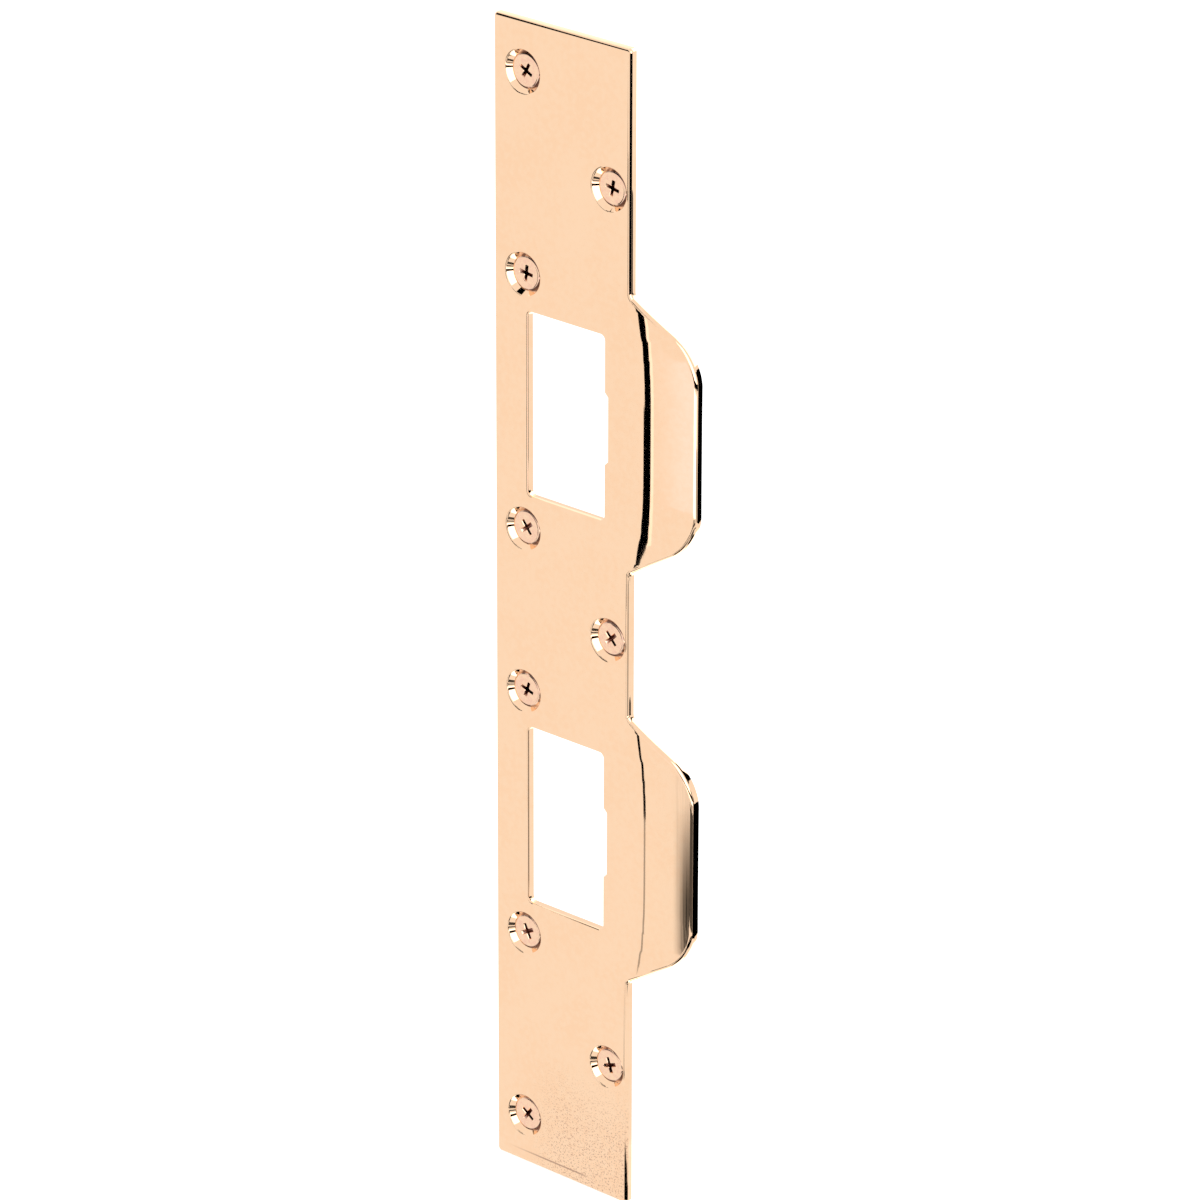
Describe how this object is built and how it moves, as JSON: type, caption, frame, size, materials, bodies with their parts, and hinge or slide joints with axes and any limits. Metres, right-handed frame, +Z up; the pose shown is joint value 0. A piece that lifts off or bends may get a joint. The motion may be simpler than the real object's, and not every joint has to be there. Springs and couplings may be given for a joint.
{
  "type": "door strike plate",
  "caption": "Tall flat door strike plate with latch openings, tapered curved lips and countersunk screws.",
  "frame": {"origin": "centre of the plate's flat back face, which lies against the door jamb", "axes": "+Z up the length of the plate, +X toward the edge with the lips, +Y into the jamb; the polished front faces -Y"},
  "size_m": [0.0592, 0.0083, 0.2826],
  "materials": {
    "polished_brass": "polished, lacquered",
    "screw_brass": "plated, slightly redder than the plate"
  },
  "bodies": {
    "root": {"strike_plate": "polished_brass", "mounting_screws": "screw_brass"}
  },
  "joints": []
}
